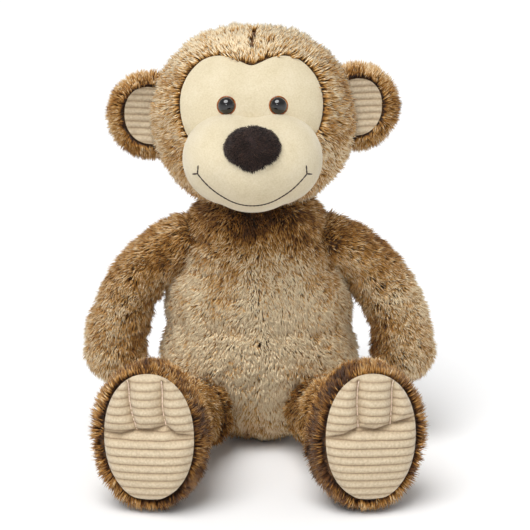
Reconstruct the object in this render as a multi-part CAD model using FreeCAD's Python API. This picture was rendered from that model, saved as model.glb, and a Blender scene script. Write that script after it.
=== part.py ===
import FreeCAD, Part
import math
import os

# A seated plush monkey, 300 mm tall with its fur. Millimetres, +Z up, facing -Y.
# The origin is the middle of the flat seat under the body. The toy's own left is +X.
# Fabric is a shell around a stuffing core, and the outer faces lie a little
# under the tips of the fur. Limbs and head turn about pivots inside round
# pockets, so every pocket and every limb root is a ball on one centre.

Vector = FreeCAD.Vector
X_AXIS = Vector(1, 0, 0)
Y_AXIS = Vector(0, 1, 0)
Z_AXIS = Vector(0, 0, 1)
FAR = 300.0

FABRIC = 3.0            # fur fabric with its backing
SEAM_GAP = 0.4          # between two panels of one body
CORE_GAP = 0.5          # between a panel and the stuffing under it
JOINT_GAP = 0.8         # between bodies that move
THREAD_RADIUS = 0.8
GATHER_RADIUS = 1.4     # the thick gathering thread in each limb opening
GATHER_BACK = 0.55      # how far behind a limb's pivot it lies, as a share of its reach
NECK_GATHER_BACK = 0.2  # the same for the neck

# Body: a pear drawn with two arcs that meet at the waist, and wider than deep.
SEAT_RADIUS = 31.0
WAIST_RADIUS = 59.0
WAIST_Z = 55.0
COLLAR_RADIUS = 28.0
COLLAR_Z = 158.0
TORSO_WIDENING = 12.0
SEAT_THICKNESS = 2.5
POUCH_RADIUS = 11.0
POUCH_HALF_LENGTH = 28.0
POUCH_Z = 17.0
STITCH_HEIGHTS = (62, 72, 82, 92, 102)
STITCH_LENGTH = 10.0

# Neck and head: the head is a ball drawn out sideways.
NECK_PIVOT = Vector(-1, 0, 170)
NECK_RADIUS = 24.0
HEAD_CENTRE = Vector(-4, -4, 233.5)
HEAD_RADIUS = 62.5
HEAD_WIDENING = 7.0
BACK_SEAM_Y = 18.0
MASK_LOBE_RADIUS = 25.8
MASK_LOBE_OFFSET = 20.0
MASK_LOBE_Z = 256.5
MASK_BOTTOM_Z = 190.0
MASK_BACK_Y = -22.0
MUZZLE_CENTRE = Vector(-4, -68, 210)
MUZZLE_RADIUS = 34.0
MUZZLE_WIDENING = 11.0
SMILE_Y = -91.0
SMILE_LIFT = 1.5
SMILE_ANGLE = 80.0
NOSE_CENTRE = Vector(-4, -97, 224)
NOSE_RADIUS = 14.0
NOSE_WIDENING = 4.5
NOSE_FABRIC = 2.0

# Eyes: a black dome on a stem, an amber ring under it and a lock washer inside.
EYE_X = 17.0
EYE_Z = 16.5
EYE_RADIUS = 6.0
EYE_RING_RADIUS = 6.6
EYE_RING_THICKNESS = 0.9
EYE_DOME_HEIGHT = 4.4
STEM_RADIUS = 1.8
STEM_LENGTH = 12.0
STEM_CLEARANCE = 0.4
WASHER_RADIUS = 6.5
WASHER_THICKNESS = 1.5

# Ears: round discs with a rolled rim.
EAR_OFFSET = 75.0
EAR_Y = 2.0
EAR_Z = {"right": 235.0, "left": 241.0}
EAR_RADIUS = 28.0
EAR_RIM_RADIUS = 7.5
LINING_RADIUS = 20.5
LINING_THICKNESS = 2.5
BATTING_RADIUS = 18.0
BATTING_HALF_THICKNESS = 3.0
EAR_CLEARANCE = 2.6

# Arms: one arc from the shoulder pivot to the middle of the hand.
ARM_RADIUS = 18.0
SHOULDER = Vector(51, 0, 146)
ELBOW = Vector(88, -6, 116)
HAND = Vector(103, -16, 68)
ARM_SWINGS = (-75, -56, -37, -18, 0, 20, 40)
ARM_LIFTS = (-5, 8)
ARM_SLACK = 0.7         # more room where the arm passes between those angles

# Legs: worked out about the middle of the foot, with the sole facing -Y.
HIP = Vector(44, -50, 33)
FOOT_CENTRE = Vector(68, -143, 48)
THIGH_RADIUS = 25.0
FOOT_RADIUS = 36.0
FOOT_HEIGHTENING = 12.0
SOLE_DEPTH = 22.0
SOLE_THICKNESS = 2.5
TOE_STITCH_X = 10.0
TOE_STITCH_Z = (7.0, 34.0)
TOE_CREASE_Z = 4.0
TOE_CREASE_HALF = 24.0
LEG_RAISES = (-75, -50, -25, 0, 18, 35)
LEG_SPREADS = (-10, 8, 25)

SIDES = {"right": -1, "left": 1}


def on_side(point, side):
    return Vector(side * point.x, point.y, point.z)


def block(low, high):
    return Part.makeBox(high[0] - low[0], high[1] - low[1], high[2] - low[2], Vector(*low))


def rod(start, end, radius):
    return Part.makeCylinder(radius, (end - start).Length, start, end - start)


def half_ball(centre, direction, radius):
    return Part.makeSphere(radius, centre, direction, 0, 90, 360)


def long_ball(centre, axis, radius, half_length):
    """A cylinder along axis with a half ball at each end."""
    end = axis * half_length
    middle = rod(centre - end, centre + end, radius)
    caps = [half_ball(centre + end, axis, radius), half_ball(centre - end, axis * -1.0, radius)]
    return middle.multiFuse(caps)


def pocket_radius(ball_radius):
    return ball_radius + 2 * JOINT_GAP + 2 * GATHER_RADIUS


def gather_ring(pivot, direction, ball_radius, back):
    """A ring of thread round the ball, behind the pivot from where the limb leaves."""
    reach = ball_radius + JOINT_GAP + GATHER_RADIUS
    along = Vector(direction)
    along.normalize()
    across = math.sqrt(1 - back ** 2) * reach
    return Part.makeTorus(across, GATHER_RADIUS, pivot - along * (back * reach), along)


def write(name, shape):
    solids = shape.Solids
    if not solids or not shape.isValid():
        raise ValueError(name + " is not a valid solid")
    solid = solids[0] if len(solids) == 1 else Part.makeCompound(solids)
    solid.exportStep("parts/" + name + ".step")
    box = solid.BoundBox
    print("%-24s %d solid %9.0f mm3  x %.0f %.0f  y %.0f %.0f  z %.0f %.0f" % (
        name, len(solids), solid.Volume,
        box.XMin, box.XMax, box.YMin, box.YMax, box.ZMin, box.ZMax))


# ---------------------------------------------------------------- limb forms

def arm_arc(side):
    return Part.Arc(on_side(SHOULDER, side), on_side(ELBOW, side), on_side(HAND, side)).toShape()


def arm_form(side, inset):
    """A round tube bent on one arc, with a half ball at each end."""
    radius = ARM_RADIUS - inset
    edge = arm_arc(side)
    first = edge.tangentAt(edge.FirstParameter)
    last = edge.tangentAt(edge.LastParameter)
    start = edge.valueAt(edge.FirstParameter)
    end = edge.valueAt(edge.LastParameter)
    disc = Part.Face(Part.Wire(Part.makeCircle(radius, start, first)))
    turn = math.degrees(edge.LastParameter - edge.FirstParameter)
    tube = disc.revolve(edge.Curve.Center, edge.Curve.Axis, turn)
    return tube.multiFuse([half_ball(start, first * -1.0, radius), half_ball(end, last, radius)])


def splay_angle():
    return math.degrees(math.atan2(FOOT_CENTRE.x - HIP.x, HIP.y - FOOT_CENTRE.y))


def place_leg(shape, side):
    placed = shape.copy()
    placed.rotate(Vector(0, 0, 0), Z_AXIS, side * splay_angle())
    placed.translate(on_side(FOOT_CENTRE, side))
    return placed


def leg_form(inset, sole_y):
    """Thigh and foot as one form about the foot's middle, cut flat at sole_y."""
    reach = math.hypot(FOOT_CENTRE.x - HIP.x, HIP.y - FOOT_CENTRE.y)
    hip = Vector(0, reach, HIP.z - FOOT_CENTRE.z)
    radius = THIGH_RADIUS - inset
    thigh = rod(hip, Vector(0, 0, 0), radius)
    root = half_ball(hip, hip, radius)
    foot = long_ball(Vector(0, 0, 0), Z_AXIS, FOOT_RADIUS - inset, FOOT_HEIGHTENING)
    form = foot.multiFuse([thigh, root])
    return form.cut(block((-FAR, -2 * FAR, -FAR), (FAR, sole_y, FAR)))


# ---------------------------------------------------------------- clearances

def leg_room(side):
    """The room that a straight round thigh takes while it rises and spreads."""
    hip = on_side(HIP, side)
    direction = on_side(FOOT_CENTRE, side) - hip
    room = [Part.makeSphere(pocket_radius(THIGH_RADIUS), hip)]
    for raise_angle in LEG_RAISES:
        for spread in LEG_SPREADS:
            spread_out = FreeCAD.Rotation(Z_AXIS, side * spread).multVec(direction)
            turned = FreeCAD.Rotation(X_AXIS, -raise_angle).multVec(spread_out)
            room.append(Part.makeCylinder(THIGH_RADIUS + JOINT_GAP, FAR / 3, hip, turned))
    return room


def arm_room(side):
    """The room that the upper arm takes while it swings and lifts."""
    shoulder = on_side(SHOULDER, side)
    direction = on_side(ELBOW, side) - shoulder
    radius = ARM_RADIUS + JOINT_GAP + ARM_SLACK
    room = [Part.makeSphere(pocket_radius(ARM_RADIUS), shoulder)]
    for swing in ARM_SWINGS:
        for lift in ARM_LIFTS:
            lifted = FreeCAD.Rotation(Y_AXIS, -side * lift).multVec(direction)
            turned = FreeCAD.Rotation(X_AXIS, swing).multVec(lifted)
            room.append(Part.makeCylinder(radius, direction.Length, shoulder, turned))
    return room


def limb_rooms():
    rooms = []
    for side in SIDES.values():
        rooms += leg_room(side) + arm_room(side)
    return rooms


# ---------------------------------------------------------------- body

def pear_arc(end_radius, end_z):
    """Centre and radius of the arc from the waist to a given end, centred at waist height."""
    rise = end_z - WAIST_Z
    centre = (end_radius ** 2 + rise ** 2 - WAIST_RADIUS ** 2) / (2 * (end_radius - WAIST_RADIUS))
    return centre, WAIST_RADIUS - centre


def pear_point(height, inset):
    """The outline's point at a height, moved inwards by inset."""
    if height < WAIST_Z:
        centre, radius = pear_arc(SEAT_RADIUS, 0)
    else:
        centre, radius = pear_arc(COLLAR_RADIUS, COLLAR_Z)
    half = centre + math.sqrt((radius - inset) ** 2 - (height - WAIST_Z) ** 2)
    return Vector(half, 0, height)


def pear_face(inset, bottom):
    """Half of the body's outline in the XZ plane, from its axis outwards."""
    top = COLLAR_Z - inset
    seat = pear_point(bottom, inset)
    waist = pear_point(WAIST_Z, inset)
    collar = pear_point(top, inset)
    return Part.Face(Part.Wire([
        Part.makeLine(Vector(0, 0, bottom), seat),
        Part.Arc(seat, pear_point((bottom + WAIST_Z) / 2, inset), waist).toShape(),
        Part.Arc(waist, pear_point((top + WAIST_Z) / 2, inset), collar).toShape(),
        Part.makeLine(collar, Vector(0, 0, top)),
        Part.makeLine(Vector(0, 0, top), Vector(0, 0, bottom)),
    ]))


def torso_form(inset, bottom):
    """Two half pears with a straight stretch between them, and the neck ball on top."""
    face = pear_face(inset, bottom)
    turned = face.copy()
    turned.rotate(Vector(0, 0, 0), Z_AXIS, -90)
    half = turned.revolve(Vector(0, 0, 0), Z_AXIS, 180)
    left = half.translated(Vector(TORSO_WIDENING, 0, 0))
    right = half.copy()
    right.rotate(Vector(0, 0, 0), Z_AXIS, 180)
    right = right.translated(Vector(-TORSO_WIDENING, 0, 0))
    front = turned.translated(Vector(-TORSO_WIDENING, 0, 0)).extrude(X_AXIS * (2 * TORSO_WIDENING))
    back = front.copy()
    back.rotate(Vector(0, 0, 0), Z_AXIS, 180)
    neck = Part.makeSphere(NECK_RADIUS - inset, NECK_PIVOT)
    return front.multiFuse([back, left, right, neck]).removeSplitter()


def make_torso():
    rooms = limb_rooms()
    outer = torso_form(0, 0)
    skin = outer.cut([torso_form(FABRIC, -FABRIC)] + rooms)
    half = SEAM_GAP / 2
    write("torso_front_panel", skin.common(block((-FAR, -FAR, -1), (FAR, -half, FAR))))
    write("torso_back_right_panel", skin.common(block((-FAR, half, -1), (-half, FAR, FAR))))
    write("torso_back_left_panel", skin.common(block((half, half, -1), (FAR, FAR, FAR))))
    opening = torso_form(FABRIC + SEAM_GAP, -FABRIC)
    seat = opening.common(block((-FAR, -FAR, 0), (FAR, FAR, SEAT_THICKNESS)))
    write("seat_panel", seat.cut(rooms))
    pouch_centre = Vector(0, 4, POUCH_Z)
    pouch_half = POUCH_HALF_LENGTH - POUCH_RADIUS
    write("pellet_pouch", long_ball(pouch_centre, X_AXIS, POUCH_RADIUS, pouch_half).cut(rooms))
    core = torso_form(FABRIC + CORE_GAP, SEAT_THICKNESS + CORE_GAP)
    pouch_room = long_ball(pouch_centre, X_AXIS, POUCH_RADIUS + CORE_GAP, pouch_half)
    write("torso_stuffing", core.cut([pouch_room] + rooms))
    stitches = []
    for height in STITCH_HEIGHTS:
        line = Part.makeLine(Vector(0, FAR, height), Vector(0, 0, height))
        back_y = outer.common(line).BoundBox.YMax + THREAD_RADIUS + SEAM_GAP
        start = Vector(-STITCH_LENGTH / 2, back_y, height)
        stitches.append(rod(start, start + X_AXIS * STITCH_LENGTH, THREAD_RADIUS))
    write("back_seam_stitches", Part.makeCompound(stitches))


# ---------------------------------------------------------------- head

def mask_prism(gap):
    """The heart-topped outline of the face, drawn out along Y."""
    x = HEAD_CENTRE.x
    reach = MASK_LOBE_RADIUS + gap
    depth = FAR + MASK_BACK_Y + gap
    lobes = []
    for side in SIDES.values():
        centre = Vector(x + side * MASK_LOBE_OFFSET, -FAR, MASK_LOBE_Z)
        lobes.append(Part.makeCylinder(reach, depth, centre, Y_AXIS))
    half = MASK_LOBE_OFFSET + reach
    low = (x - half, -FAR, MASK_BOTTOM_Z - gap)
    cheeks = block(low, (x + half, MASK_BACK_Y + gap, MASK_LOBE_Z))
    return lobes[0].multiFuse([lobes[1], cheeks])


def head_ball(extra):
    return long_ball(HEAD_CENTRE, X_AXIS, HEAD_RADIUS + extra, HEAD_WIDENING)


def head_form(inset):
    return head_ball(-inset).cut(Part.makeSphere(pocket_radius(NECK_RADIUS), NECK_PIVOT))


def eye_frame(side):
    """The point on the face where an eye sits, and the outward normal there."""
    ball_x = side * (EYE_X - HEAD_WIDENING)
    normal = Vector(ball_x, -math.sqrt(HEAD_RADIUS ** 2 - ball_x ** 2 - EYE_Z ** 2), EYE_Z)
    spot = HEAD_CENTRE + X_AXIS * (side * HEAD_WIDENING) + normal
    return spot, normal.normalize()


def make_eye(name, side):
    spot, normal = eye_frame(side)
    ring_base = spot + normal * CORE_GAP
    ring = Part.makeCylinder(EYE_RING_RADIUS, EYE_RING_THICKNESS, ring_base, normal)
    hole = Part.makeCylinder(STEM_RADIUS + STEM_CLEARANCE, EYE_RING_THICKNESS, ring_base, normal)
    write("eye_%s_amber_ring" % name, ring.cut(hole))
    dome_base = ring_base + normal * (EYE_RING_THICKNESS + SEAM_GAP)
    ball_radius = (EYE_RADIUS ** 2 + EYE_DOME_HEIGHT ** 2) / (2 * EYE_DOME_HEIGHT)
    ball = Part.makeSphere(ball_radius, dome_base + normal * (EYE_DOME_HEIGHT - ball_radius))
    dome = ball.common(Part.makeCylinder(2 * EYE_RADIUS, 2 * EYE_RADIUS, dome_base, normal))
    stem = Part.makeCylinder(STEM_RADIUS, STEM_LENGTH, dome_base, normal * -1.0)
    write("eye_%s_dome" % name, dome.fuse(stem))
    washer_base = spot - normal * (FABRIC + CORE_GAP + WASHER_THICKNESS)
    washer = Part.makeCylinder(WASHER_RADIUS, WASHER_THICKNESS, washer_base, normal)
    bore = Part.makeCylinder(STEM_RADIUS + STEM_CLEARANCE, WASHER_THICKNESS, washer_base, normal)
    write("eye_%s_lock_washer" % name, washer.cut(bore))


def eye_rooms(radius):
    rooms = []
    for side in SIDES.values():
        spot, normal = eye_frame(side)
        rooms.append(Part.makeCylinder(radius, 2 * STEM_LENGTH, spot - normal * STEM_LENGTH, normal))
    return rooms


def make_head():
    skin = head_form(0).cut(head_form(FABRIC))
    stem_holes = eye_rooms(STEM_RADIUS + STEM_CLEARANCE)
    write("face_mask_panel", skin.common(mask_prism(0)).cut(stem_holes))
    fur = skin.cut(mask_prism(SEAM_GAP))
    half = SEAM_GAP / 2
    x = HEAD_CENTRE.x
    front_end = BACK_SEAM_Y - half
    write("head_right_panel", fur.common(block((-FAR, -FAR, 0), (x - half, front_end, FAR))))
    write("head_left_panel", fur.common(block((x + half, -FAR, 0), (FAR, front_end, FAR))))
    write("head_back_panel", fur.common(block((-FAR, BACK_SEAM_Y + half, 0), (FAR, FAR, FAR))))
    write("head_stuffing", head_form(FABRIC + CORE_GAP).cut(eye_rooms(WASHER_RADIUS + CORE_GAP)))
    for name, side in SIDES.items():
        make_eye(name, side)


def smile():
    """A thread that hugs the muzzle where an upright plane crosses it."""
    plane = math.sqrt(MUZZLE_RADIUS ** 2 - (SMILE_Y - MUZZLE_CENTRE.y) ** 2)
    reach = plane + SMILE_LIFT
    middle = Vector(MUZZLE_CENTRE.x, SMILE_Y, MUZZLE_CENTRE.z)
    low = middle - Z_AXIS * reach
    pieces = []
    for side in SIDES.values():
        centre = middle + X_AXIS * (side * MUZZLE_WIDENING)
        disc = Part.Face(Part.Wire(Part.makeCircle(THREAD_RADIUS, centre - Z_AXIS * reach, X_AXIS)))
        pieces.append(disc.revolve(centre, Y_AXIS, -side * SMILE_ANGLE))
    bottom = rod(low - X_AXIS * MUZZLE_WIDENING, low + X_AXIS * MUZZLE_WIDENING, THREAD_RADIUS)
    return bottom.multiFuse(pieces)


def make_muzzle():
    face = head_ball(CORE_GAP)

    def muzzle(extra):
        return long_ball(MUZZLE_CENTRE, X_AXIS, MUZZLE_RADIUS + extra, MUZZLE_WIDENING)

    def nose(extra):
        return long_ball(NOSE_CENTRE, X_AXIS, NOSE_RADIUS + extra, NOSE_WIDENING)

    write("muzzle_panel", muzzle(0).cut([muzzle(-FABRIC), face]))
    write("muzzle_stuffing", muzzle(-FABRIC - CORE_GAP).cut(face))
    room = muzzle(CORE_GAP)
    write("nose_cover", nose(0).cut([nose(-NOSE_FABRIC), room]))
    write("nose_stuffing", nose(-NOSE_FABRIC - CORE_GAP).cut(room))
    write("smile_thread", smile())


def ear_disc(centre, radius, rim):
    """A round disc facing -Y whose edge is a full round of radius rim."""
    flat = Part.makeCylinder(radius - rim, 2 * rim, centre - Y_AXIS * rim, Y_AXIS)
    return flat.fuse(Part.makeTorus(radius - rim, rim, centre, Y_AXIS))


def make_ear(name, side):
    centre = Vector(HEAD_CENTRE.x + side * EAR_OFFSET, EAR_Y, EAR_Z[name])
    head_room = head_ball(EAR_CLEARANCE)
    front_y = centre.y - EAR_RIM_RADIUS
    start = Vector(centre.x, front_y, centre.z)
    recess = Part.makeCylinder(LINING_RADIUS + SEAM_GAP, LINING_THICKNESS + SEAM_GAP, start, Y_AXIS)
    lining = Part.makeCylinder(LINING_RADIUS, LINING_THICKNESS, start, Y_AXIS)
    thick = BATTING_HALF_THICKNESS
    back_start = Vector(centre.x, centre.y - thick, centre.z)
    batting = Part.makeCylinder(BATTING_RADIUS, 2 * thick, back_start, Y_AXIS)
    hollow_start = back_start - Y_AXIS * CORE_GAP
    hollow = Part.makeCylinder(BATTING_RADIUS + CORE_GAP, 2 * (thick + CORE_GAP), hollow_start, Y_AXIS)
    whole = ear_disc(centre, EAR_RADIUS, EAR_RIM_RADIUS)
    write("ear_%s_fur_back" % name, whole.cut([recess, hollow, head_room]))
    write("ear_%s_lining" % name, lining.cut(head_room))
    write("ear_%s_batting" % name, batting.cut(head_room))


# ---------------------------------------------------------------- limbs

def make_arm(name, side):
    skin = arm_form(side, 0).cut(arm_form(side, FABRIC))
    half = SEAM_GAP / 2
    axis = arm_arc(side).Curve.Axis
    if axis.y < 0:
        axis = axis * -1.0
    tilt = FreeCAD.Placement(on_side(SHOULDER, side), FreeCAD.Rotation(Y_AXIS, axis))
    front = block((-FAR, -FAR, -FAR), (FAR, -half, FAR))
    back = block((-FAR, half, -FAR), (FAR, FAR, FAR))
    write("arm_%s_front_panel" % name, skin.common(front.transformed(tilt.toMatrix())))
    write("arm_%s_back_panel" % name, skin.common(back.transformed(tilt.toMatrix())))
    write("arm_%s_stuffing" % name, arm_form(side, FABRIC + CORE_GAP))
    edge = arm_arc(side)
    direction = edge.tangentAt(edge.FirstParameter)
    ring = gather_ring(on_side(SHOULDER, side), direction, ARM_RADIUS, GATHER_BACK)
    write("arm_%s_gather_thread" % name, ring)


def make_leg(name, side):
    skin = leg_form(0, -SOLE_DEPTH).cut(leg_form(FABRIC, -FAR))
    half = SEAM_GAP / 2
    outer = block((half, -FAR, -FAR), (FAR, FAR, FAR))
    inner = block((-FAR, -FAR, -FAR), (-half, FAR, FAR))
    if side < 0:
        outer, inner = inner, outer
    write("leg_%s_outer_panel" % name, place_leg(skin.common(outer), side))
    write("leg_%s_inner_panel" % name, place_leg(skin.common(inner), side))
    slab = block((-FAR, -SOLE_DEPTH, -FAR), (FAR, SOLE_THICKNESS - SOLE_DEPTH, FAR))
    sole_ball = FOOT_RADIUS - FABRIC - SEAM_GAP
    sole = long_ball(Vector(0, 0, 0), Z_AXIS, sole_ball, FOOT_HEIGHTENING).common(slab)
    write("leg_%s_sole" % name, place_leg(sole, side))
    core = leg_form(FABRIC + CORE_GAP, SOLE_THICKNESS + CORE_GAP - SOLE_DEPTH)
    write("leg_%s_stuffing" % name, place_leg(core, side))
    front = -SOLE_DEPTH - THREAD_RADIUS - CORE_GAP
    stitches = []
    for x in (-TOE_STITCH_X, TOE_STITCH_X):
        low = Vector(x, front, TOE_STITCH_Z[0])
        stitches.append(rod(low, Vector(x, front, TOE_STITCH_Z[1]), THREAD_RADIUS))
    crease = X_AXIS * TOE_CREASE_HALF
    middle = Vector(0, front, TOE_CREASE_Z)
    stitches.append(rod(middle - crease, middle + crease, THREAD_RADIUS))
    write("leg_%s_toe_stitches" % name, place_leg(Part.makeCompound(stitches), side))
    direction = on_side(FOOT_CENTRE, side) - on_side(HIP, side)
    ring = gather_ring(on_side(HIP, side), direction, THIGH_RADIUS, GATHER_BACK)
    write("leg_%s_gather_thread" % name, ring)


os.makedirs("parts", exist_ok=True)
make_torso()
write("neck_gather_thread", gather_ring(NECK_PIVOT, Z_AXIS, NECK_RADIUS, NECK_GATHER_BACK))
make_head()
make_muzzle()
for side_name, side_sign in SIDES.items():
    make_ear(side_name, side_sign)
    make_arm(side_name, side_sign)
    make_leg(side_name, side_sign)
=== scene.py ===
# %% [markdown]
# # A seated plush monkey
# The real toy is long-pile plush sewn over stuffing, with a short-pile face, corduroy
# soles and ear linings, and two shiny eyes. The sizes and the moving bodies come from
# the CAD frame. Everything soft is remade here in finer form and rides on those bodies.

# %% Load the frame
import math

import bmesh
import bpy
import numpy as np
from mathutils import Matrix, Vector, noise
from mathutils.bvhtree import BVHTree


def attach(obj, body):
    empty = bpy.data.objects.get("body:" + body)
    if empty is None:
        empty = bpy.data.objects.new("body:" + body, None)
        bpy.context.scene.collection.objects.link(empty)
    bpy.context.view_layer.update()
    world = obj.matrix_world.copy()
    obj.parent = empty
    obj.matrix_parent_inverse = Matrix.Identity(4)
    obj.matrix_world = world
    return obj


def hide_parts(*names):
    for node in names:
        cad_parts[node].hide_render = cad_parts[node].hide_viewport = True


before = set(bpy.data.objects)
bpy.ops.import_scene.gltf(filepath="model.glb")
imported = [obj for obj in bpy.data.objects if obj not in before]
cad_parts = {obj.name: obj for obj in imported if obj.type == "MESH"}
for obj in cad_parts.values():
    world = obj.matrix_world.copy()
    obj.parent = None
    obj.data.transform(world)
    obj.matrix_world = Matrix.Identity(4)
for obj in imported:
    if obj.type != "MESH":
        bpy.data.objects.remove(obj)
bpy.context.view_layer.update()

# %% [markdown]
# ## Units
# Blender works in metres and the toy was cut in millimetres. `at` turns a place in
# millimetres into metres once, so that every size below reads as on a pattern sheet.

# %% Places in millimetres
MM = 0.001


def at(x, y, z):
    return Vector((x, y, z)) * MM


SIDES = {"right": -1, "left": 1}

# %% [markdown]
# ## Camera
# A toy is best seen from a little above, as a child sees it on a shelf. A wide lens up
# close would swell the soles, so a long lens stands a metre away and keeps the soles and
# the face in natural proportion.

# %% Camera
CAMERA_RISE = math.radians(12)
CAMERA_DISTANCE = 1.05
AIM = at(4.3, 0, 127)
lens = bpy.data.cameras.new("camera")
lens.lens = 99
lens.sensor_width = 36
camera = bpy.data.objects.new("camera", lens)
back = Vector((0, -math.cos(CAMERA_RISE), math.sin(CAMERA_RISE)))
camera.location = AIM + back * CAMERA_DISTANCE
camera.rotation_euler = (math.pi / 2 - CAMERA_RISE, 0, 0)
bpy.context.scene.collection.objects.link(camera)
bpy.context.scene.camera = camera
bpy.context.scene.view_settings.view_transform = "Standard"
print("camera at", [round(v, 3) for v in camera.location])

# %% [markdown]
# ## Materials written as expressions
# A shader is a sum of small effects. `Value` wraps a node's output so that the sums read
# as ordinary arithmetic, and `Finish.node` is the one way to add any other node.

# %% Shader helpers
class Value:
    """A node's output, with the arithmetic that the finishes use."""

    def __init__(self, finish, socket):
        self.finish = finish
        self.socket = socket

    def math(self, operation, first, second):
        return self.finish.node("ShaderNodeMath", {"operation": operation}, {0: first, 1: second})

    def __add__(self, other):
        return self.math("ADD", self, other)

    def __radd__(self, other):
        return self.math("ADD", other, self)

    def __sub__(self, other):
        return self.math("SUBTRACT", self, other)

    def __rsub__(self, other):
        return self.math("SUBTRACT", other, self)

    def __mul__(self, other):
        return self.math("MULTIPLY", self, other)

    def __rmul__(self, other):
        return self.math("MULTIPLY", other, self)


class Finish:
    """One material: a Principled shader and the nodes that feed it."""

    def __init__(self, name, roughness, **fixed):
        self.material = bpy.data.materials.new(name)
        self.material.use_nodes = True
        self.tree = self.material.node_tree
        self.shader = self.tree.nodes["Principled BSDF"]
        self.shader.inputs["Roughness"].default_value = roughness
        for socket, value in fixed.items():
            self.shader.inputs[socket.replace("_", " ")].default_value = value

    def node(self, kind, settings, inputs, output=0):
        made = self.tree.nodes.new(kind)
        for name, value in settings.items():
            if name == "stops":
                ramp = made.color_ramp
                while len(ramp.elements) < len(value):
                    ramp.elements.new(0.5)
                for element, (place, colour) in zip(ramp.elements, value):
                    element.position = place
                    element.color = colour
            else:
                setattr(made, name, value)
        for name, value in inputs.items():
            if isinstance(value, Value):
                self.tree.links.new(value.socket, made.inputs[name])
            else:
                made.inputs[name].default_value = value
        return Value(self, made.outputs[output])

    def feed(self, socket, value):
        self.tree.links.new(value.socket, self.shader.inputs[socket])

    def place(self):
        return self.node("ShaderNodeTexCoord", {}, {}, "Object")

    def attribute(self, name):
        return self.node("ShaderNodeAttribute", {"attribute_name": name}, {}, "Fac")

    def grain(self, scale, detail=2.0):
        """Noise on the toy's own coordinates, from 0 to 1."""
        sockets = {"Vector": self.place(), "Scale": scale, "Detail": detail}
        return self.node("ShaderNodeTexNoise", {}, sockets)

    def ramp(self, value, stops):
        return self.node("ShaderNodeValToRGB", {"stops": stops}, {"Fac": value})

    def overlay(self, share, first, second):
        """Two colours, the second laid over the first. 0, 6 and 7 are the colour sockets."""
        return self.node("ShaderNodeMix", {"data_type": "RGBA", "blend_type": "OVERLAY"},
                         {0: share, 6: first, 7: second}, 2)

    def bump(self, height, distance, strength):
        sockets = {"Height": height, "Distance": distance, "Strength": strength}
        self.feed("Normal", self.node("ShaderNodeBump", {}, sockets))


def tone(code):
    """A screen colour such as D8C8A8 as linear numbers."""
    parts = [int(code[i:i + 2], 16) / 255 for i in (0, 2, 4)]
    return tuple(((c + 0.055) / 1.055) ** 2.4 if c > 0.04 else c / 12.92 for c in parts) + (1.0,)


# %% [markdown]
# ## Fur colour
# Frosted plush is dyed dark at the root, golden brown along the hair and cream at the tip. Each hair
# carries how far along it a point is and a tone of its own, and slow noise over the toy makes the lighter
# and darker patches that a brushed pile shows. Each hair's tone also holds painted light and painted
# shade, set by where it grows.

# %% Fur materials
HAIR_VARIES = 0.26
PATCHES_VARY = 1.2
LOCKS_VARY = 1.0
PALER = 0.04


def fur_finish(name, stops):
    finish = Finish(name, 0.6, Sheen_Weight=0.1, Specular_IOR_Level=0.25)
    along = finish.attribute("along")
    tint = finish.attribute("tint")
    patch = finish.grain(32.0, 3.0)
    lock = finish.grain(190.0, 2.0)
    # The per-hair value holds painted light and shade by place, on top of each hair's random tone.
    shift = tint * HAIR_VARIES + (patch - 0.5) * PATCHES_VARY + (lock - 0.5) * LOCKS_VARY + PALER
    finish.feed("Base Color", finish.ramp(along + shift * along, stops))
    return finish.material


fur = fur_finish("plush_fur", [
    (0.0, tone("2C1A0C")), (0.3, tone("643C18")), (0.54, tone("AE7832")), (0.76, tone("D8AC6C")),
    (1.0, tone("FBE8C4"))])
nose_fur = fur_finish("nose_plush", [(0.0, tone("100805")), (0.6, tone("20130E")), (1.0, tone("4A342A"))])


def backing_finish(name, scale, dark, light):
    """The knitted cloth that the pile stands on, seen only between the hairs."""
    finish = Finish(name, 0.9)
    finish.feed("Base Color", finish.ramp(finish.grain(scale), [(0.3, tone(dark)), (0.7, tone(light))]))
    return finish.material


ground = backing_finish("fur_backing", 220.0, "3A2412", "7A5430")
nose_ground = backing_finish("nose_backing", 400.0, "1A0F0C", "2E1C18")
print("fur finishes", [material.name for material in bpy.data.materials])

# %% [markdown]
# ## Cream velour, corduroy, thread and eyes
# Velour has a very short pile, so fine mottling and a soft bump are enough. Corduroy gets its ribs as real
# geometry, and its material darkens the valleys as painted shade and adds the cut pile's grain. The eyes
# are moulded plastic: nearly black, and amber under it.

# %% Smooth materials
velour = Finish("cream_velour", 0.85, Sheen_Weight=0.35, Sheen_Roughness=0.4, Specular_IOR_Level=0.2)
nap = velour.grain(900.0, 3.0)
brushed = velour.grain(60.0, 2.0)
velour.feed("Base Color", velour.ramp(0.6 * nap + 0.4 * brushed, [
    (0.25, tone("C6B795")), (0.5, tone("D4C7A9")), (0.75, tone("DED3BB"))]))
velour.bump(nap, 0.0005, 0.6)

corduroy = Finish("beige_corduroy", 0.85, Sheen_Weight=0.3, Sheen_Roughness=0.4, Specular_IOR_Level=0.2)
rib = corduroy.attribute("rib")
pile = corduroy.grain(700.0, 3.0)
# Painted shade: the valleys between the ribs, and the sole's toe grooves, get the darker colour.
rib_shade_colour = corduroy.ramp(rib, [(0.0, tone("86745E")), (0.5, tone("B2A28A")), (1.0, tone("C6B9A3"))])
pile_colour = corduroy.ramp(pile, [(0.3, tone("A09078")), (0.7, tone("E6DCCC"))])
corduroy.feed("Base Color", corduroy.overlay(0.35, rib_shade_colour, pile_colour))
corduroy.bump(pile, 0.0004, 0.6)


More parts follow.
